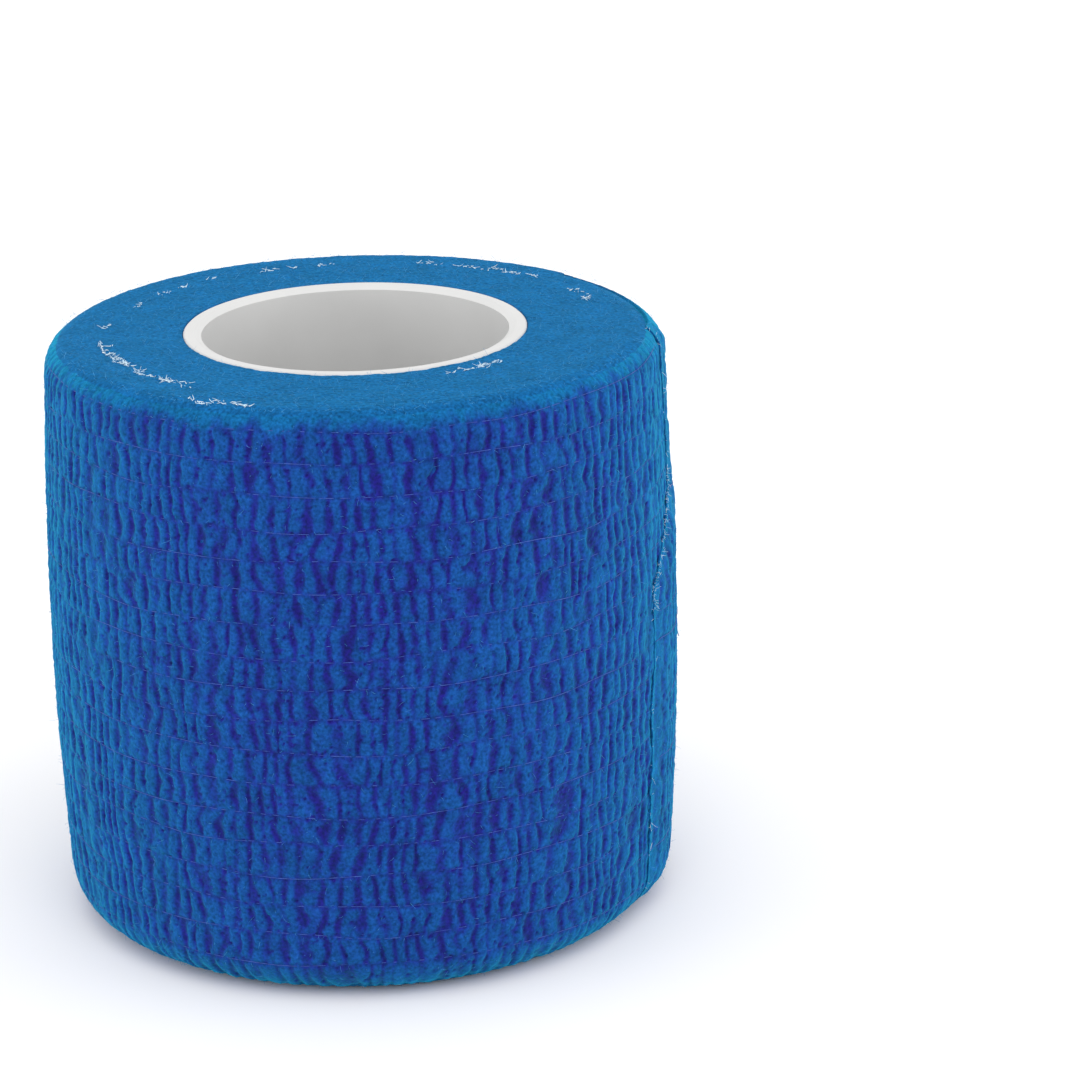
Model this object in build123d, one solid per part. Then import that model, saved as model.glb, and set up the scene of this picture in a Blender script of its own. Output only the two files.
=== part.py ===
from build123d import *
import os
from math import cos, radians, sin

# A roll of cohesive elastic bandage standing on its end. Millimetres and degrees.
# The axis of the core is Z, the roll rests on Z = 0, and azimuths are counted from +X towards +Y.

# Driving dimensions
ROLL_WIDTH = 50.0         # width of the bandage, which is the height of the standing roll
ROLL_RADIUS = 26.4        # radius of the outermost turn at the front, on -Y
CORE_RADIUS = 14.35       # outside of the core tube
CORE_WALL = 1.5           # wall of the core tube
CORE_BEVEL = (0.6, 0.3)   # bevel at the mouths of the bore: across the rim, along the axis
CORE_EDGE = 0.15          # small chamfer on the outer edges of the core
CORE_GAP = 0.05           # between the core and the innermost turn
TURNS = 19                # full turns under the outermost half turn
LAYER_GAP = 0.05          # between neighbouring turns

# The loose end of the bandage, which lifts as three stiff panels
ROOT_AZIMUTH = 42.0       # where the loose end leaves the roll
PANEL_ANGLE = 22.0        # arc of one panel
PANELS = ("root", "middle", "tip")
CUT_BACK = 20.0           # arc by which the slanting cut shortens the top of the last panel
CUT_HEIGHTS = (28.5, 36.5)  # where the slanting part of the cut starts and ends
FOLD_GAP = 0.12           # between neighbouring panels
PANEL_INSET = 0.3         # the panels stop short of both end faces of the roll
PANEL_GAP = 0.09          # between the panels and the turn beneath them, at the right

# The elastic threads that run along the bandage
THREADS = 18
THREAD_SPACING = 2.67
FIRST_THREAD = 3.25       # height of the lowest thread above the foot of the roll
THREAD_RADIUS = 0.12
THREAD_LIFT = 0.02        # between a thread and the face that it lies on
THREAD_SETBACK = 0.3      # a thread stops this far from a fold line

# Worked out from the dimensions above
INNER_RADIUS = CORE_RADIUS + CORE_GAP
PITCH = (ROLL_RADIUS + LAYER_GAP - INNER_RADIUS) / (TURNS + 0.5)
THICKNESS = PITCH - LAYER_GAP
OUTER_TURN_RADIUS = INNER_RADIUS + TURNS * PITCH
FACE_RADIUS = OUTER_TURN_RADIUS + THICKNESS
THREAD_OFFSET = THICKNESS + THREAD_LIFT + THREAD_RADIUS
TIP_AZIMUTH = ROOT_AZIMUTH - len(PANELS) * PANEL_ANGLE
PANEL_RADIUS = OUTER_TURN_RADIUS - LAYER_GAP + PANEL_GAP


def angle_of(length, radius):
    """The angle that a length along an arc turns through."""
    return length / radians(radius)


def at(radius, azimuth):
    """The point on the plan at a radius and an azimuth from the core's axis."""
    return (radius * cos(radians(azimuth)), radius * sin(radians(azimuth)))


def arc(radius, start, end, centre_x=0.0):
    """An arc on the plan from one azimuth to another about a centre on the X axis."""
    return CenterArc((centre_x, 0), radius, start, end - start)


def winding_arcs(offset):
    """The wound line, clockwise from the core outwards, offset from the inner face of the bandage.

    Back half turns are centred on the core and front half turns half a pitch to its left,
    so the half circles are tangent where they meet and each turn grows by one pitch.
    """
    arcs = []
    for turn in range(TURNS):
        radius = INNER_RADIUS + turn * PITCH + offset
        arcs.append(arc(radius, 180, 0))
        arcs.append(arc(radius + PITCH / 2, 0, -180, -PITCH / 2))
    root = ROOT_AZIMUTH + angle_of(FOLD_GAP / 2, OUTER_TURN_RADIUS)
    arcs.append(arc(OUTER_TURN_RADIUS + offset, 180, root))
    return arcs


def sector(inner, outer, start, end):
    """A face between two radii and two azimuths."""
    sides = [Line(at(inner, azimuth), at(outer, azimuth)) for azimuth in (start, end)]
    return make_face([arc(inner, start, end), arc(outer, start, end)] + sides)


def make_core():
    """The plain tube that the bandage is wound on, bevelled at the mouths of its bore."""
    bore = CORE_RADIUS - CORE_WALL
    across, along = CORE_BEVEL
    profile = [
        (bore, along),
        (bore + across, 0),
        (CORE_RADIUS - CORE_EDGE, 0),
        (CORE_RADIUS, CORE_EDGE),
        (CORE_RADIUS, ROLL_WIDTH - CORE_EDGE),
        (CORE_RADIUS - CORE_EDGE, ROLL_WIDTH),
        (bore + across, ROLL_WIDTH),
        (bore, ROLL_WIDTH - along),
    ]
    outline = Polyline([(radius, 0, height) for radius, height in profile], close=True)
    return revolve(make_face(outline), Axis.Z)


def make_web():
    """The bandage itself: one long strip, wound from the core to the start of the loose end."""
    inner = winding_arcs(0)
    outer = winding_arcs(THICKNESS)
    ends = [Line(inner[0] @ 0, outer[0] @ 0), Line(inner[-1] @ 1, outer[-1] @ 1)]
    return extrude(make_face(inner + outer + ends), ROLL_WIDTH)


def panel_span(index, setback):
    """Start and end azimuth of a panel of the loose end, set back from its fold lines."""
    margin = angle_of(setback, FACE_RADIUS)
    start = ROOT_AZIMUTH - index * PANEL_ANGLE - margin
    end = ROOT_AZIMUTH - (index + 1) * PANEL_ANGLE + margin
    return start, end


def make_panel(index):
    """One panel of the loose end, lying against the turn beneath it."""
    start, end = panel_span(index, FOLD_GAP / 2)
    height = ROLL_WIDTH - 2 * PANEL_INSET
    panel = extrude(sector(PANEL_RADIUS, FACE_RADIUS, start, end), height)
    return Pos(0, 0, PANEL_INSET) * panel


def make_cut():
    """What the slanting cut takes off the last panel: a prism along X, above and in front of the cut."""
    (_, front), (_, back) = at(FACE_RADIUS, TIP_AZIMUTH), at(FACE_RADIUS, TIP_AZIMUTH + CUT_BACK)
    low, high = CUT_HEIGHTS
    beyond = 2 * front
    corners = [(front, low), (back, high), (back, ROLL_WIDTH), (beyond, ROLL_WIDTH), (beyond, low)]
    outline = Polyline([(0, y, height) for y, height in corners], close=True)
    return extrude(make_face(outline), ROLL_RADIUS * 2, dir=(1, 0, 0))


def cut_back(height):
    """Arc by which the cut shortens the last panel at a height."""
    low, high = CUT_HEIGHTS
    return CUT_BACK * min(max((height - low) / (high - low), 0), 1)


def thread_height(row):
    """Height of a thread above the foot of the roll."""
    return FIRST_THREAD + row * THREAD_SPACING


def sweep_thread(line):
    """A round thread along a line on the plan."""
    section = Plane(origin=line @ 0, z_dir=line % 0) * Circle(THREAD_RADIUS)
    return sweep(section, path=line)


def make_turn_thread():
    """A thread once round the roll, from the loose end's root to just short of its tip."""
    root = ROOT_AZIMUTH + angle_of(THREAD_SETBACK, FACE_RADIUS)
    back = arc(OUTER_TURN_RADIUS + THREAD_OFFSET, root, 180)
    tip = 360 + TIP_AZIMUTH - angle_of(THREAD_SETBACK, FACE_RADIUS)
    front = arc(OUTER_TURN_RADIUS - PITCH / 2 + THREAD_OFFSET, 180, tip, -PITCH / 2)
    return sweep_thread(Wire([back, front]))


def make_panel_threads(index):
    """The short lengths of all the threads that lie on one panel of the loose end."""
    start, end = panel_span(index, THREAD_SETBACK)
    last = index == len(PANELS) - 1
    stubs = []
    for row in range(THREADS):
        height = thread_height(row)
        short = cut_back(height + 2 * THREAD_RADIUS) if last else 0
        stub = sweep_thread(Wire([arc(OUTER_TURN_RADIUS + THREAD_OFFSET, start, end + short)]))
        stubs.append(Pos(0, 0, height) * stub)
    return Compound(stubs)


def make_parts():
    """Every sub-part by its node's name."""
    parts = {"core_tube": make_core(), "bandage_web": make_web()}
    turn_thread = make_turn_thread()
    for row in range(THREADS):
        parts[f"elastic_thread_{row + 1:02d}"] = Pos(0, 0, thread_height(row)) * turn_thread
    for index, name in enumerate(PANELS):
        parts[f"loose_end_{name}"] = make_panel(index)
        parts[f"loose_end_{name}_threads"] = make_panel_threads(index)
    parts["loose_end_tip"] -= make_cut()
    return parts


os.makedirs("parts", exist_ok=True)
for node, shape in make_parts().items():
    export_step(shape, f"parts/{node}.step")

wound_length = sum(line.length for line in winding_arcs(THICKNESS / 2))
print(f"pitch {PITCH:.4f} mm, thickness {THICKNESS:.4f} mm, wound length {wound_length / 1000:.3f} m")
print(f"fold lines at radius {FACE_RADIUS:.4f} mm")
for index, name in enumerate(PANELS):
    x, y = at(FACE_RADIUS, ROOT_AZIMUTH - index * PANEL_ANGLE)
    print(f"fold line of the {name} panel at {x:.4f}, {y:.4f} mm")
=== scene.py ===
from math import cos, pi, radians, sin

import bpy
import numpy as np
from mathutils import Matrix, Vector


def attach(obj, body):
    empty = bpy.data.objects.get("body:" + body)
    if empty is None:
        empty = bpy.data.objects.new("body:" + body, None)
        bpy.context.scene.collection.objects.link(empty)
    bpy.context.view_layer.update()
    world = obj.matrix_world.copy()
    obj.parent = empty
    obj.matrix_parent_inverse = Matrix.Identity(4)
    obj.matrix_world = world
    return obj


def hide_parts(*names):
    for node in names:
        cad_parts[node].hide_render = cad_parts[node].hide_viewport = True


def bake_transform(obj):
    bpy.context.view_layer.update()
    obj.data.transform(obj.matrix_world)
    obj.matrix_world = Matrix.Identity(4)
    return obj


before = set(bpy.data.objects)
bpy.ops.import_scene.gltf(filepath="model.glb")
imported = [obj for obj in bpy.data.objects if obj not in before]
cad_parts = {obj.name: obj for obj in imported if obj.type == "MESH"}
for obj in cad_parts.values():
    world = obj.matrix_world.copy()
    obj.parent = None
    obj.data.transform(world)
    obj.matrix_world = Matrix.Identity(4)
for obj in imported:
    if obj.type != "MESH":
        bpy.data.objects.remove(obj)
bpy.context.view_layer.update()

# A roll of cohesive elastic bandage. Lengths are in millimetres until a mesh is made, and
# angles in degrees. The turn angle is counted along the bandage from the root of the loose
# end: it is positive inwards, counter-clockwise round the roll, and negative on the loose end.
MM = 0.001
RNG = np.random.default_rng(7)

# The roll, as in the CAD part
WIDTH = 50.0
FACE = 26.709              # outer face of the loose end
OUTER_TURN = 26.4          # the outer turn, for lengths along it
PITCH = 0.6179             # what a turn adds to the radius
CORE = 14.4                # inner face of the innermost turn
TURNS = 20                 # turns whose edges the end faces show
ROOT = 42.0                # azimuth of the root of the loose end
PANEL = 22.0               # arc of one panel of the loose end
TIP = -3 * PANEL           # turn angle of the tip, where it is longest
LENGTH = 122.0             # arc of one of the three lengths of the outer turn
UNDER = 3 * LENGTH         # the outer turn ends under the loose end

# The slanting cut of the last panel: its arc, and the heights where it starts and ends
CUT_BACK, CUT_LOW, CUT_HIGH = 20.0, 28.5, 36.5

# The roll's lower and upper edge: the radius of the rounding, how far round it the outer turn
# reaches, and how far the face is drawn in there
LOW_EDGE, LOW_REACH = 3.69, radians(74)
TOP_EDGE, TOP_REACH = 2.23, radians(60)
BARREL_TOP, BARREL_LOW = 0.80, 0.94
STRAIGHT = WIDTH - LOW_EDGE - TOP_EDGE
LOW_ARC = LOW_EDGE * LOW_REACH
SPAN = LOW_ARC + STRAIGHT + TOP_EDGE * TOP_REACH

# The fabric
THREADS = 18
FIRST_THREAD, THREAD_SPACING = 3.25, 2.67
THREAD_RADII = np.full((THREADS, 1), 0.032 * MM)   # in metres, the same all along each thread
THREAD_SWAY = 0.12         # how far a thread strays from its height
THREAD_SUNK = 0.02         # how deep a thread lies in the cloth
SIDE_SUNK = 0.4            # how much deeper it lies at the sides of the loose end
RIB = 1.42                 # from one pucker to the next
RELIEF = 0.23              # depth of the puckers
CREST = -0.1               # how far the crests stand over the CAD face
GROOVE, GROOVE_WIDTH = 0.08, 0.28   # the groove that a thread draws in
PITS = 8000                # small bonding pits over the whole face
FELTED = 48.2              # height over which the puckers fade into felt

# The loose end, which is pressed down on the turn beneath it towards its cut and its sides
CLOTH, THINNER = 0.5, 0.35   # its thickness on a crest, and how much thinner it is where it is pressed
LIFT, SINK = 0.06, 0.54      # how far it stands off the roll, and how far pressing takes it down
CUT_PRESS = 8                # arc from the cut over which the pressing ends
SIDE_PRESS = 0.4             # how strongly the sides are pressed, where 1 is as strongly as the cut
SIDE_FROM, SIDE_FADE = 22.5, 1.5   # where the sides begin, from mid height, and over how much they do
FRAY_AND_PAINTED_LIGHT_ARC = 2.5              # arc from the cut over which the cloth is painted light and fuzzy: its frayed edge's own lighter fuzz, and painted light over the step's shade

# The grid of the unrolled outer face
STEP = 1 / 3
ANGLES = np.arange(round(TIP / STEP), round(UNDER / STEP) + 1) * STEP
ROWS = 265
ALONG = ANGLES * radians(1) * OUTER_TURN
ACROSS = np.linspace(0, SPAN, ROWS)


def columns_between(first, last):
    """Columns of the grid from one turn angle to another, both included."""
    return np.arange(round((first - TIP) / STEP), round((last - TIP) / STEP) + 1)


def smooth(x):
    """A smooth step from 0 to 1."""
    x = np.clip(x, 0, 1)
    return x * x * (3 - 2 * x)


def wander(shape, sizes):
    """Smooth noise of about unit strength: its features are so many samples large along each axis."""
    spectrum = np.fft.fftn(RNG.normal(size=shape))
    for axis, size in enumerate(sizes):
        frequency = np.fft.fftfreq(shape[axis]).reshape([-1 if i == axis else 1 for i in range(len(shape))])
        spectrum = spectrum * np.exp(-2 * (pi * frequency * size) ** 2)
    noise = np.fft.ifftn(spectrum).real
    return noise / noise.std()


def lapse(angle):
    """Turns that the outer face has lost to the winding at a turn angle."""
    half = 180 - ROOT
    share = (1 - np.cos(np.radians(angle - half))) / 2
    return np.where(angle < half, 0, np.where(angle > half + 180, 1, share))


def barrel(height):
    """How far the face is drawn in at a height."""
    t = (height - WIDTH / 2) / (WIDTH / 2)
    return np.where(t > 0, BARREL_TOP, BARREL_LOW) * t * t


def outline(across):
    """The roll's outline from its lower edge to its upper edge: inset, height and outward normal."""
    low = np.clip(LOW_REACH - across / LOW_EDGE, 0, None)
    top = np.clip((across - LOW_ARC - STRAIGHT) / TOP_EDGE, 0, None)
    side = np.clip(across - LOW_ARC, 0, STRAIGHT)
    inset = LOW_EDGE * (1 - np.cos(low)) + TOP_EDGE * (1 - np.cos(top))
    height = LOW_EDGE * (1 - np.sin(low)) + side + TOP_EDGE * np.sin(top)
    tilt = top - low
    return inset + barrel(height), height, np.cos(tilt), np.sin(tilt)


INSET, HEIGHT, OUTWARD, UPWARD = outline(ACROSS)
THREAD_ACROSS = np.interp(FIRST_THREAD + THREAD_SPACING * np.arange(THREADS), HEIGHT, ACROSS)
SWAY = np.array([wander(ALONG.shape, (18,)) for _ in range(THREADS)])
THREAD_LINES = THREAD_ACROSS[:, None] + THREAD_SWAY * SWAY


def pucker(phase, height, depths, widths, bulges):
    """Relief of one row of puckers, from 0 in the deepest fold to 1 on a crest.

    phase counts the folds along the row, and height goes from 0 at the thread below to 1 at the
    thread above. A fold is shaped like a lens, deepest and widest between the threads.
    """
    fold = np.round(phase).astype(int)
    off = phase - fold
    fold = fold % len(depths)
    lens = np.sin(pi * np.clip(height, 0, 1) ** bulges[fold])
    half = widths[fold] * (0.55 + 0.45 * lens)
    deep = 0.35 + 0.65 * lens**0.6
    return 1 - deep * depths[fold] * np.exp(-1.1 * np.abs(off / half) ** 3) * (1 - (2 * off) ** 2)


def make_relief():
    """Height of the outer face over its deepest folds, on the grid, as a share of the full relief."""
    total = np.zeros((ROWS, len(ANGLES)))
    lines = [np.full(ALONG.shape, -1.2), *THREAD_LINES, np.full(ALONG.shape, SPAN + 1.2)]
    drift = wander(ALONG.shape, (9,))
    overlap = 0.22   # neighbouring rows fade into each other at their thread
    folds = 400      # more than a row holds
    for below, above in zip(lines[:-1], lines[1:]):
        # Each row of puckers partly follows the one below it
        drift = 0.65 * drift + 0.76 * wander(ALONG.shape, (9,))
        rows = (ACROSS > below.min() - overlap) & (ACROSS < above.max() + overlap)
        w = ACROSS[rows, None]
        height = (w - below) / (above - below)
        slant = 0.16 * wander(ALONG.shape, (7,)) * (height - 0.5)
        bow = 0.09 * wander(ALONG.shape, (5,)) * np.sin(pi * np.clip(height, 0, 1))
        wobble = 0.07 * wander(height.shape, (2.2, 3))
        phase = ALONG / RIB + 0.3 * drift + slant + bow + wobble
        depths, widths = RNG.uniform(0.45, 1, folds), RNG.uniform(0.17, 0.4, folds)
        bulges = RNG.uniform(0.7, 1.4, folds)
        share = smooth((w - below + overlap) / (2 * overlap)) * smooth((above + overlap - w) / (2 * overlap))
        total[rows] += share * pucker(phase, height, depths, widths, bulges)
    return total


def stamp_pits(relief):
    """Small round pits between the folds, where the plies are bonded."""
    per_row, per_column = ACROSS[1], ALONG[1] - ALONG[0]
    reach = 5        # grid steps from a pit's middle to where it has ended
    for _ in range(PITS):
        i, j = RNG.integers(0, ROWS), RNG.integers(0, len(ANGLES))
        radius, depth = RNG.uniform(0.11, 0.2), RNG.uniform(0.2, 0.7)
        rows = slice(max(i - reach, 0), i + reach + 1)
        columns = slice(max(j - reach, 0), j + reach + 1)
        y = (np.arange(ROWS)[rows, None] - i) * per_row
        x = (np.arange(len(ANGLES))[None, columns] - j) * per_column
        relief[rows, columns] -= depth * np.exp(-(x * x + y * y) / radius**2)


relief = make_relief()
stamp_pits(relief)
grooves = np.zeros_like(relief)
for line in THREAD_LINES:
    grooves += np.exp(-(((ACROSS[:, None] - line) / GROOVE_WIDTH) ** 2))
soft = 0.05 * wander(relief.shape, (8, 9))
soft += 0.07 * wander(relief.shape, (2.2, 1.8))
soft += 0.06 * wander(relief.shape, (0.8, 0.8))
FADE = (1 - 0.85 * smooth((HEIGHT - FELTED) / 1.5))[:, None]
relief = relief + soft - grooves * GROOVE / RELIEF

# What the grid holds: height over the CAD face, how light the fabric is painted (painted shade, darker the
# deeper the folds, pits and thread grooves lie), and how felted it is
TALL = RELIEF * ((relief - 1) * FADE) + CREST - 0.05 * (1 - FADE)
# Painted shade: the colour is darkened with the depth of the folds, pits and grooves, where shade falls
PAINTED_SHADE = 1 - (1 - np.clip(relief, 0, 1)) * FADE
ragged = HEIGHT[:, None] + 0.35 * wander(ALONG.shape, (3,))
ragged += 0.2 * wander(relief.shape, (1, 1))
FELT = 0.75 * smooth((ragged - FELTED) / 1.4)


def place(radius, angle, height):
    """Points in metres at a radius, turn angle and height."""
    azimuth = np.radians(ROOT + angle)
    return MM * np.stack(np.broadcast_arrays(radius * np.cos(azimuth), radius * np.sin(azimuth), height), -1)


def at_side(angle, height):
    """How near a place is to the sides of the loose end, from 0 to 1."""
    return smooth((np.abs(height - WIDTH / 2) - SIDE_FROM) / SIDE_FADE) * smooth(-angle / CUT_PRESS)


def pressed(angle, edge, height):
    """How flat the loose end is pressed down, from 0 to 1: fully at its cut, and less at its sides."""
    return np.maximum(1 - smooth((angle - edge) / CUT_PRESS), SIDE_PRESS * at_side(angle, height)) * (angle < 0)


def lift(angle, edge, height):
    """How far the loose end stands off the turn beneath it."""
    return LIFT * smooth(-angle / 10) - SINK * pressed(angle, edge, height)


def cut_edge():
    """Turn angle of the slanting, ragged cut edge of the loose end, on each row of the grid."""
    back = np.clip((HEIGHT - CUT_LOW) / (CUT_HIGH - CUT_LOW), 0, 1)
    return TIP + CUT_BACK * back**1.5 + 0.5 * wander(HEIGHT.shape, (9,)) + 0.2 * wander(HEIGHT.shape, (1,))


# The last panel's columns are drawn together so that they end at the cut
LAST_FOLD = TIP + PANEL
CUT = cut_edge()
DRAWN = np.clip((LAST_FOLD - ANGLES) / PANEL, 0, None)
SPREAD = np.where(ANGLES < LAST_FOLD, LAST_FOLD + (CUT[:, None] - LAST_FOLD) * DRAWN, ANGLES)
for grid in (TALL, PAINTED_SHADE):
    for row in range(ROWS):
        grid[row] = np.interp(SPREAD[row], ANGLES, grid[row])

# Near the cut the cloth is painted light: its fold shade is left out and felt colour put in, for the frayed
# edge's own lighter fuzz and as painted light over the shade of the step at the cut
FRAY_AND_PAINTED_LIGHT = 1 - smooth((SPREAD - CUT[:, None]) / FRAY_AND_PAINTED_LIGHT_ARC)
PAINTED_SHADE = np.maximum(PAINTED_SHADE, FRAY_AND_PAINTED_LIGHT)
FELT = np.maximum(FELT, 0.5 * FRAY_AND_PAINTED_LIGHT)


def surface(columns, back=False):
    """Points of the outer face on the grid columns given, or of the flatter back of the cloth."""
    angle = SPREAD[:, columns]
    flat = pressed(angle, CUT[:, None], HEIGHT[:, None])
    out = CREST + (TALL[:, columns] - CREST) * (1 - 0.7 * flat)
    if back:
        out = (out + CREST) / 2 - CLOTH + THINNER * flat
    base = FACE - PITCH * lapse(angle) + lift(angle, CUT[:, None], HEIGHT[:, None]) - INSET[:, None]
    return place(base + OUTWARD[:, None] * out, angle, HEIGHT[:, None] + UPWARD[:, None] * out)


# The whole face, whose normals the pieces share, so that they meet without a seam
FULL = surface(np.arange(len(ANGLES)))
NORMALS = np.cross(np.gradient(FULL, axis=1), np.gradient(FULL, axis=0))
NORMALS /= np.linalg.norm(NORMALS, axis=2, keepdims=True)


def make_mesh(name, points, faces, flat=(), normals=None, **values):
    """A mesh object from points and lists of faces; flat faces aren't smoothed. values are point attributes.

    normals are those of the first points, all on the smooth faces, so that pieces that meet look like one.
    """
    mesh = bpy.data.meshes.new(name)
    mesh.from_pydata(points.tolist(), [], faces + list(flat))
    mesh.polygons.foreach_set("use_smooth", [True] * len(faces) + [False] * len(flat))
    for key, value in values.items():
        mesh.attributes.new(key, "FLOAT", "POINT").data.foreach_set("value", np.asarray(value, np.float32))
    if normals is not None:
        corners = np.zeros(len(mesh.loops), np.int32)
        mesh.loops.foreach_get("vertex_index", corners)
        split = np.zeros((len(corners), 3))
        split[: 4 * len(faces)] = normals[corners[: 4 * len(faces)]]
        mesh.normals_split_custom_set(split.tolist())
    obj = bpy.data.objects.new(name, mesh)
    bpy.context.scene.collection.objects.link(obj)
    return obj


def quads(rows, columns, flip=False, start=0):
    """Faces of a grid of points stored row by row."""
    i = start + np.arange(rows - 1)[:, None] * columns + np.arange(columns - 1)
    corners = [i, i + 1, i + columns + 1, i + columns]
    return np.stack(corners[::-1] if flip else corners, -1).reshape(-1, 4).tolist()


def rim(rows, columns, every):
    """Indices of a grid's border, anticlockwise from its first point, in runs of so many steps."""
    bottom = list(range(columns - 1))
    right = [i * columns + columns - 1 for i in range(rows - 1)]
    top = [(rows - 1) * columns + j for j in range(columns - 1, 0, -1)]
    left = [i * columns for i in range(rows - 1, 0, -1)]
    loop = bottom + right + top + left
    return [(loop + loop[:1])[k : k + every + 1] for k in range(0, len(loop), every)]


def cloth(name, first, last, every):
    """A piece of the bandage between two turn angles, with its inner face on every so many points."""
    columns = columns_between(first, last)
    outer = surface(columns)
    coarse = columns[::every]
    if every == 1:
        inner = surface(coarse, back=True)
    else:
        radius = FACE - PITCH * lapse(ANGLES[coarse])[None, :] - INSET[::every, None]
        depth = RELIEF - CREST + 0.03   # just under the deepest folds
        inward, down = OUTWARD[::every, None] * depth, UPWARD[::every, None] * depth
        inner = place(radius - inward, ANGLES[coarse], HEIGHT[::every, None] - down)

    def values(grid):
        return np.concatenate([grid[:, columns].ravel(), grid[::every, coarse].ravel()])

    shape, inner_shape = outer.shape[:2], inner.shape[:2]
    count = shape[0] * shape[1]
    walls = []
    for run, short in zip(rim(*shape, every), rim(*inner_shape, 1)):
        walls.append(run[::-1] + [count + short[0], count + short[1]])
    points = np.concatenate([outer.reshape(-1, 3), inner.reshape(-1, 3)])
    back = quads(*inner_shape, flip=True, start=count)
    normals = NORMALS[:, columns].reshape(-1, 3)
    # The relief attribute carries the painted shade of the folds, pits and grooves
    painted_shade, felt = values(PAINTED_SHADE), values(FELT)
    return make_mesh(name, points, quads(*shape), back + walls, normals, relief=painted_shade, felt=felt)


def core_block():
    """The turns under the outermost one, with both end faces and the spiral of their edges."""
    angle = np.arange(0, 720) / 2
    layers = np.arange(TURNS * 4 + 1) / 4
    face = FACE - PITCH * lapse(angle)[:, None]
    inside = 0.95    # keeps the layers clear of the outer turn's cloth
    edge = face - PITCH - inside
    step = (edge - CORE) / TURNS

    def end_face(steps, rounding, drop, reach):
        """Radii so many turns in from the outermost layer, and how far in the end face lies there."""
        radius = edge - step * steps[None, :]
        into = np.clip(face + CREST - drop - radius, 0, None)
        fall = rounding - np.sqrt(np.clip(rounding**2 - np.clip(rounding - into, 0, None) ** 2, 0, None))
        under = 1 - smooth((into - rounding * (1 - cos(reach)) + 0.45) / 0.35)
        return radius, fall + 0.3 * under

    ripple = -0.012 * np.cos(2 * pi * layers)
    shape = (len(angle), len(layers))
    felt = 0.014 * wander(shape, (0.9, 0.9)) + 0.012 * wander(shape, (4, 4))
    radius, fall = end_face(layers, TOP_EDGE, BARREL_TOP, TOP_REACH)
    top = WIDTH - fall - 0.06 + ripple[None, :] + felt
    low_steps = np.arange(TURNS * 2 + 1) / 2
    low_radius, low_fall = end_face(low_steps, LOW_EDGE, BARREL_LOW, LOW_REACH)
    rough = 0.03 * np.abs(wander((len(angle), len(low_steps)), (1.0, 0.8)))
    low = low_fall + 0.02 + rough
    radius = np.concatenate([low_radius[:, ::-1], radius], 1)
    height = np.concatenate([low[:, ::-1], top], 1)
    points = place(radius, angle[:, None], height).reshape(-1, 3)
    rows, columns = radius.shape
    index = np.arange(rows * columns).reshape(rows, columns)
    after = np.roll(index, -1, 0)
    faces = np.stack([index, after, np.roll(after, -1, 1), np.roll(index, -1, 1)], -1).reshape(-1, 4).tolist()
    # Painted shade: the upper end face is painted darker where the edges of its layers lie lower
    painted_shade = np.concatenate([np.full(low.shape, 0.9), 0.9 + 4 * (felt + ripple[None, :])], 1).ravel()
    return make_mesh("wound_layers", points, faces, relief=painted_shade, felt=np.full(rows * columns, 0.75))


def tubes(name, paths, radii, sides):
    """Thin tubes along paths of equally many points, tapering as radii say along each path; one object."""
    count, length = paths.shape[:2]
    ahead = np.gradient(paths, axis=1)
    ahead /= np.linalg.norm(ahead, axis=2, keepdims=True) + 1e-12
    guide = np.where(np.abs(ahead[..., 2:]) > 0.8, [1.0, 0, 0], [0, 0, 1.0])
    side = np.cross(ahead, guide)
    side /= np.linalg.norm(side, axis=2, keepdims=True)
    other = np.cross(ahead, side)
    turn = np.arange(sides) * 2 * pi / sides
    ring = side[:, :, None] * np.cos(turn)[:, None] + other[:, :, None] * np.sin(turn)[:, None]
    points = paths[:, :, None] + ring * np.asarray(radii)[..., None, None]
    index = np.arange(count * length * sides).reshape(count, length, sides)
    a, b = index[:, :-1], index[:, 1:]
    faces = np.stack([a, b, np.roll(b, -1, 2), np.roll(a, -1, 2)], -1).reshape(-1, 4).tolist()
    caps = index[:, 0].tolist() + index[:, -1, ::-1].tolist()
    return make_mesh(name, points.reshape(-1, 3), faces, caps)


def thread_paths(first, last):
    """Lines of the elastic threads, in metres, between two turn angles."""
    columns = columns_between(first, last)[::2]
    paths = []
    for line in THREAD_LINES:
        nearest = np.searchsorted(ACROSS, line.mean())
        angle = SPREAD[nearest, columns]
        across = line[columns]
        inset, height, outward, upward = outline(across)
        row = np.clip(np.searchsorted(ACROSS, across), 1, ROWS - 1)
        bed = (TALL[row, columns] + TALL[row - 1, columns]) / 2
        padded = np.pad(bed, 2, mode="edge")
        level = np.mean([padded[k : k + len(bed)] for k in range(5)], axis=0)
        out = level - THREAD_SUNK + 0.02 * wander(bed.shape, (8,)) - SIDE_SUNK * at_side(angle, height)
        radius = FACE - PITCH * lapse(angle) + lift(angle, CUT[nearest], height) - inset + outward * out
        paths.append(place(radius, angle, height + upward * out))
    return np.array(paths)


def strands(name, roots, along, lengths, thickness, curl):
    """Short curled fibres from points on the surface, in millimetres."""
    count = len(roots)
    bend = RNG.normal(size=(count, 3)) * curl
    t = np.linspace(0, 1, 5)[None, :, None]
    reach = lengths[:, None, None]
    paths = roots[:, None] + reach * (along[:, None] * t + bend[:, None] * t * t)
    radii = np.broadcast_to(thickness[:, None] * np.array([1, 0.95, 0.85, 0.7, 0.35]), (count, 5))
    above_floor = 0.03
    paths[..., 2] = np.maximum(paths[..., 2], above_floor)
    return tubes(name, paths * MM, radii * MM, 3)


def unit(v):
    """Vectors of length 1 in the directions of v."""
    return v / np.linalg.norm(v, axis=-1, keepdims=True)


# Materials


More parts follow.
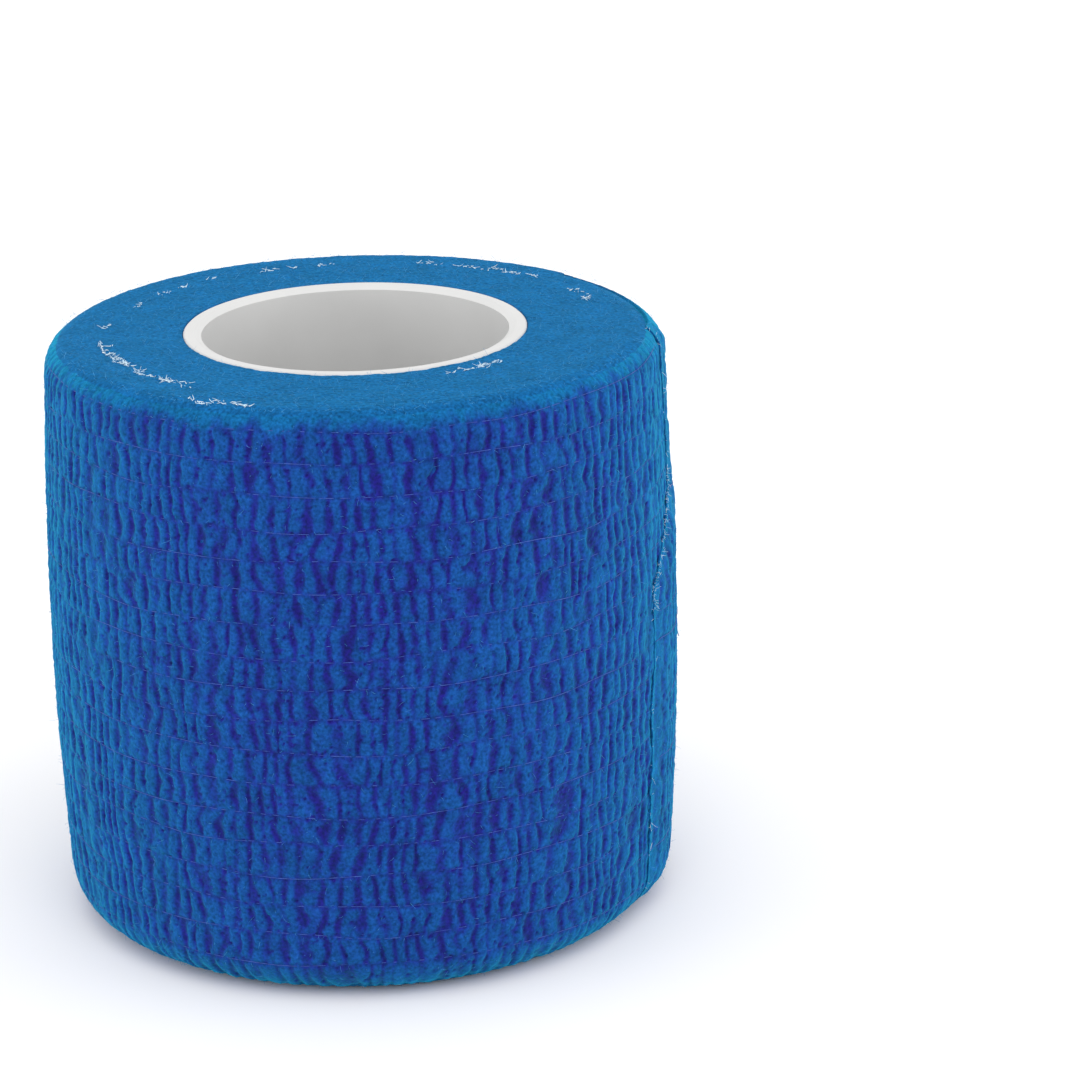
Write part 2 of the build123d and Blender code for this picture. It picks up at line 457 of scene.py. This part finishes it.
def new_material(name):
    """A node material, its nodes, its links and its shader."""
    material = bpy.data.materials.new(name)
    material.use_nodes = True
    nodes = material.node_tree.nodes
    return material, nodes, material.node_tree.links, nodes["Principled BSDF"]


def add(nodes, kind, **inputs):
    """A new node with constants on its inputs."""
    node = nodes.new(kind)
    for key, value in inputs.items():
        node.inputs[key].default_value = value
    return node


def mix(nodes, links, share, a, b, kind="MIX"):
    """A colour between a and b, which are sockets or colours."""
    node = nodes.new("ShaderNodeMix")
    node.data_type, node.blend_type = "RGBA", kind
    for socket, value in ((node.inputs[0], share), (node.inputs[6], a), (node.inputs[7], b)):
        if isinstance(value, bpy.types.NodeSocket):
            links.new(value, socket)
        else:
            socket.default_value = value
    return node.outputs[2]


def ramp(nodes, links, source, *stops):
    """A colour by a value, from stops of a position and a colour."""
    node = nodes.new("ShaderNodeValToRGB")
    elements = node.color_ramp.elements
    while len(elements) < len(stops):
        elements.new(0.5)
    for element, (position, colour) in zip(elements, stops):
        element.position, element.color = position, (*colour, 1)
    links.new(source, node.inputs[0])
    return node.outputs[0]


def noise(nodes, links, scale, detail=2.0):
    """Noise over the object's own coordinates; scale is features per metre."""
    coordinates = nodes.get("Texture Coordinate") or nodes.new("ShaderNodeTexCoord")
    node = add(nodes, "ShaderNodeTexNoise", Scale=scale, Detail=detail)
    links.new(coordinates.outputs["Object"], node.inputs["Vector"])
    return node.outputs[0]


def grey(value):
    return (value, value, value)


def fabric_material(name, tint):
    """The bandage's colour by its relief, with painted shade in its folds, or felt at its edges, under a fuzz
    of short fibres.
    """
    material, nodes, links, shader = new_material(name)
    # The relief attribute holds painted shade: darker the deeper the fold, pit or groove
    painted_shade_value = nodes.new("ShaderNodeAttribute")
    painted_shade_value.attribute_name = "relief"
    felt_value = nodes.new("ShaderNodeAttribute")
    felt_value.attribute_name = "felt"
    # Painted shade: the deepest folds are painted dark violet, the crests a lighter blue
    ribs_with_painted_shade = ramp(
        nodes,
        links,
        painted_shade_value.outputs["Fac"],
        (0.1, (0.013, 0.005, 0.15)),
        (0.4, (0.012, 0.011, 0.18)),
        (0.7, (0.009, 0.034, 0.225)),
        (1.0, (0.008, 0.055, 0.25)),
    )
    base = mix(nodes, links, felt_value.outputs["Fac"], ribs_with_painted_shade, (0.005, 0.115, 0.3, 1))
    blotch = ramp(nodes, links, noise(nodes, links, 420), (0.3, grey(0.86)), (0.7, grey(1.1)))
    speck = ramp(nodes, links, noise(nodes, links, 3800, 4), (0.3, grey(0.55)), (0.7, grey(1.42)))
    base = mix(nodes, links, 1.0, base, blotch, "MULTIPLY")
    base = mix(nodes, links, 1.0, base, speck, "MULTIPLY")
    links.new(base, shader.inputs["Base Color"])
    bump = add(nodes, "ShaderNodeBump", Strength=0.6, Distance=0.00007)
    links.new(noise(nodes, links, 5200, 3), bump.inputs["Height"])
    links.new(bump.outputs[0], shader.inputs["Normal"])
    shader.inputs["Roughness"].default_value = 0.85
    shader.inputs["Specular IOR Level"].default_value = 0.03
    shader.inputs["Sheen Weight"].default_value = 1.0
    shader.inputs["Sheen Roughness"].default_value = 0.5
    shader.inputs["Sheen Tint"].default_value = (*tint, 1)
    return material


def plain_material(name, low, high, scale, roughness, specular=0.3):
    """A plain finish that varies a little between two colours."""
    material, nodes, links, shader = new_material(name)
    colour = ramp(nodes, links, noise(nodes, links, scale), (0.3, low), (0.7, high))
    links.new(colour, shader.inputs["Base Color"])
    shader.inputs["Roughness"].default_value = roughness
    shader.inputs["Specular IOR Level"].default_value = specular
    return material


FABRIC = fabric_material("cohesive_bandage", (0.01, 0.38, 0.47))
LAYERS = fabric_material("bandage_edges", (0.01, 0.12, 0.17))
THREAD = plain_material("elastic_thread", (0.014, 0.04, 0.25), (0.05, 0.11, 0.42), 900, 0.6)
FIBRE = plain_material("loose_fibre", (0.02, 0.2, 0.45), (0.1, 0.38, 0.68), 2500, 0.8)
FRAY = plain_material("frayed_white_fibre", (0.45, 0.68, 0.85), (0.8, 0.9, 0.95), 1500, 0.8)
PLASTIC = plain_material("core_plastic", (0.6, 0.6, 0.595), (0.63, 0.63, 0.625), 160, 0.45)


def finish(obj, material):
    """Give a piece its material."""
    obj.data.materials.clear()
    obj.data.materials.append(material)
    return obj


def crease(angle):
    """The point at mid height of the outer face at a turn angle, in metres."""
    return Vector(place(FACE, np.float64(angle), WIDTH / 2).tolist())


# The outer turn, in three lengths, and the turns under it
for number in (1, 2, 3):
    start, end = (number - 1) * LENGTH, number * LENGTH
    length = finish(cloth(f"outer_turn_{number}", start, end, 6), FABRIC)
    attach(length, "roll")
layers = finish(core_block(), LAYERS)
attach(layers, "roll")
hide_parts("bandage_web")

# The loose end, in three panels, each meeting the one before at a line
BODIES = ("roll", "loose_end_root", "loose_end_middle", "loose_end_tip")


def turn_with(obj, number):
    """Bake a piece of the loose end's place into its mesh; the creases where its panel starts and half a panel
    on are worked out, but nothing bends it.
    """
    start = (1 - number) * PANEL
    crease(start)
    crease(start - PANEL / 2)
    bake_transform(obj)


for number, body in enumerate(BODIES[1:], 1):
    start, end = (1 - number) * PANEL, -number * PANEL
    panel = finish(cloth(f"{body}_cloth", end, start, 1), FABRIC)
    turn_with(panel, number)
    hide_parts(body)
    ends = finish(tubes(f"{body}_elastic", thread_paths(end, start), THREAD_RADII, 4), THREAD)
    turn_with(ends, number)
    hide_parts(f"{body}_threads")

# The elastic threads round the outer turn
for number, path in enumerate(thread_paths(0, UNDER), 1):
    thread = tubes(f"elastic_thread_line_{number:02d}", path[None], THREAD_RADII[:1], 4)
    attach(finish(thread, THREAD), "roll")
    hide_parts(f"elastic_thread_{number:02d}")


def fuzz(name, count, first, last):
    """Fine fibres that stand off the outer face at random between two turn angles."""
    i, j = RNG.integers(0, ROWS, count), RNG.choice(columns_between(first, last)[:-1], count)
    roots = FULL[i, j] / MM
    azimuth = np.radians(ROOT + SPREAD[i, j])
    out = np.stack([np.cos(azimuth) * OUTWARD[i], np.sin(azimuth) * OUTWARD[i], UPWARD[i]], -1)
    along = unit(out * RNG.uniform(0.15, 0.9, count)[:, None] + 0.7 * unit(RNG.normal(size=(count, 3))))
    lengths, thickness = RNG.uniform(0.2, 0.5, count), RNG.uniform(0.009, 0.016, count)
    return strands(name, roots - 0.05 * out, along, lengths, thickness, 0.4)


TURN_FIBRES, PANEL_FIBRES = 4200, 320
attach(finish(fuzz("fuzz_of_outer_turn", TURN_FIBRES, 0, 360 + TIP), FIBRE), "roll")
for number, body in enumerate(BODIES[1:], 1):
    fibres = fuzz(f"fuzz_of_{body}", PANEL_FIBRES, -number * PANEL, (1 - number) * PANEL)
    turn_with(finish(fibres, FIBRE), number)


def fringe():
    """Loose fibres along the cut edge of the loose end."""
    slant = np.flatnonzero((HEIGHT > CUT_LOW - 1) & (HEIGHT < CUT_HIGH + 1))
    on_slant, anywhere = 170, 60
    i = np.concatenate([RNG.choice(slant, on_slant), RNG.integers(0, ROWS, anywhere)])
    count = len(i)
    angle = CUT[i] + RNG.uniform(-0.1, 1.0, count)
    roots = place(FACE + lift(angle, CUT[i], HEIGHT[i]) - INSET[i] + CREST - 0.05, angle, HEIGHT[i]) / MM
    azimuth = np.radians(ROOT + angle)
    out = np.stack([np.cos(azimuth), np.sin(azimuth), np.zeros(count)], -1)
    onward = np.stack([np.sin(azimuth), -np.cos(azimuth), np.zeros(count)], -1)
    along = onward * RNG.uniform(0, 1, count)[:, None] + 0.2 * out + 0.6 * unit(RNG.normal(size=(count, 3)))
    lengths, thickness = RNG.uniform(0.15, 0.5, count), RNG.uniform(0.01, 0.024, count)
    return strands("fringe_of_cut_edge", roots, unit(along), lengths, thickness, 0.4)


turn_with(finish(fringe(), FRAY), 3)


def end_fibres(name, azimuths, radii, height, lengths, thickness, rise, spread):
    """Fibres lying on an end face of the roll, mostly along the turns."""
    count = len(azimuths)
    angle = np.radians(azimuths)
    roots = np.stack([radii * np.cos(angle), radii * np.sin(angle), np.full(count, height)], -1)
    way = angle + pi / 2 + RNG.normal(size=count) * spread + pi * RNG.integers(0, 2, count)
    along = unit(np.stack([np.cos(way), np.sin(way), RNG.uniform(0.05, 1, count) * rise], -1))
    return strands(name, roots, along, lengths, thickness, 0.35)


# Fine fibres all over the upper end face
count, outermost = 2600, 25.0
radii = np.sqrt(RNG.uniform(CORE**2, outermost**2, count))
azimuths, lengths = RNG.uniform(0, 360, count), RNG.uniform(0.2, 0.6, count)
thickness = RNG.uniform(0.009, 0.015, count)
down = end_fibres("fuzz_of_end_face", azimuths, radii, WIDTH - 0.1, lengths, thickness, 0.8, 0.9)
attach(finish(down, FIBRE), "roll")

# Strands torn from a turn: most at the left, and a few arcs elsewhere, as (from, to, radius, clumps)
ARCS = (
    (186, 231, 21.0, 40),
    (95, 180, 20.9, 14),
    (15, 75, 21.3, 22),
    (234, 250, 23.6, 10),
    (296, 318, 16.2, 12),
)
PER_CLUMP = 5
clumps = np.concatenate([RNG.uniform(first, last, number) for first, last, _, number in ARCS])
turns = np.concatenate([np.full(number, radius) for _, _, radius, number in ARCS])
count = PER_CLUMP * len(clumps)
azimuths = np.repeat(clumps, PER_CLUMP) + RNG.normal(size=count) * 0.9
radii = np.repeat(turns + RNG.normal(size=len(turns)) * 0.25, PER_CLUMP) + RNG.normal(size=count) * 0.1
lengths, thickness = RNG.uniform(0.12, 0.5, count), RNG.uniform(0.025, 0.055, count)
frayed = end_fibres("frayed_strands", azimuths, radii, WIDTH - 0.04, lengths, thickness, 0.1, 0.5)
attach(finish(frayed, FRAY), "roll")

# The core is the CAD part's own
finish(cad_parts["core_tube"], PLASTIC)

# Studio: pale floor, soft light, camera
bpy.ops.mesh.primitive_plane_add(size=8, location=(0, 0, -0.0001))
floor = bpy.context.object
floor.name = "floor"
floor.data.materials.append(plain_material("pale_floor", grey(0.93), grey(0.95), 3, 0.9, 0.0))

world = bpy.data.worlds.new("studio")
bpy.context.scene.world = world
world.use_nodes = True
background = world.node_tree.nodes["Background"]
background.inputs["Color"].default_value = (1, 1, 1, 1)
background.inputs["Strength"].default_value = 1.08

# The middle of the roll, which the lights face
MIDDLE = Vector((0, 0, WIDTH / 2 * MM))


def area_light(name, location, size, power):
    """A square soft light that faces the roll."""
    light = bpy.data.lights.new(name, "AREA")
    light.size, light.energy = size, power
    obj = bpy.data.objects.new(name, light)
    bpy.context.scene.collection.objects.link(obj)
    obj.location = location
    obj.rotation_euler = (MIDDLE - Vector(location)).to_track_quat("-Z", "Y").to_euler()


area_light("key", (0.1, -0.55, 0.65), 0.6, 1.5)
area_light("left", (-0.45, -0.1, 0.06), 0.35, 0.8)
area_light("right", (0.45, -0.1, 0.06), 0.35, 0.8)

# The camera: where it stands, how far it is then turned off the roll's middle, and its lens
DISTANCE, ELEVATION = 0.3495, radians(19.41)
PAN, TILT, ROLL = radians(-2.56), radians(0.80), radians(1.95)
SENSOR, FOCAL = 36, 3.747021   # the sensor's width in millimetres, and the focal length in sensor widths
eye = MIDDLE + Vector((0, -DISTANCE * cos(ELEVATION), DISTANCE * sin(ELEVATION)))
forward, right = Vector((0, cos(ELEVATION), -sin(ELEVATION))), Vector((1, 0, 0))
up = right.cross(forward)
aim = Matrix.Rotation(PAN, 3, up)
forward, right = aim @ forward, aim @ right
aim = Matrix.Rotation(TILT, 3, right)
forward, up = aim @ forward, aim @ up
aim = Matrix.Rotation(ROLL, 3, forward)
right, up = aim @ right, aim @ up
lens = bpy.data.cameras.new("camera")
lens.sensor_width, lens.lens = SENSOR, SENSOR * FOCAL
lens.clip_start, lens.clip_end = 0.01, 20
camera = bpy.data.objects.new("camera", lens)
bpy.context.scene.collection.objects.link(camera)
camera.matrix_world = Matrix.Translation(eye) @ Matrix((right, up, -forward)).transposed().to_4x4()
bpy.context.scene.camera = camera
bpy.context.scene.view_settings.view_transform = "Standard"
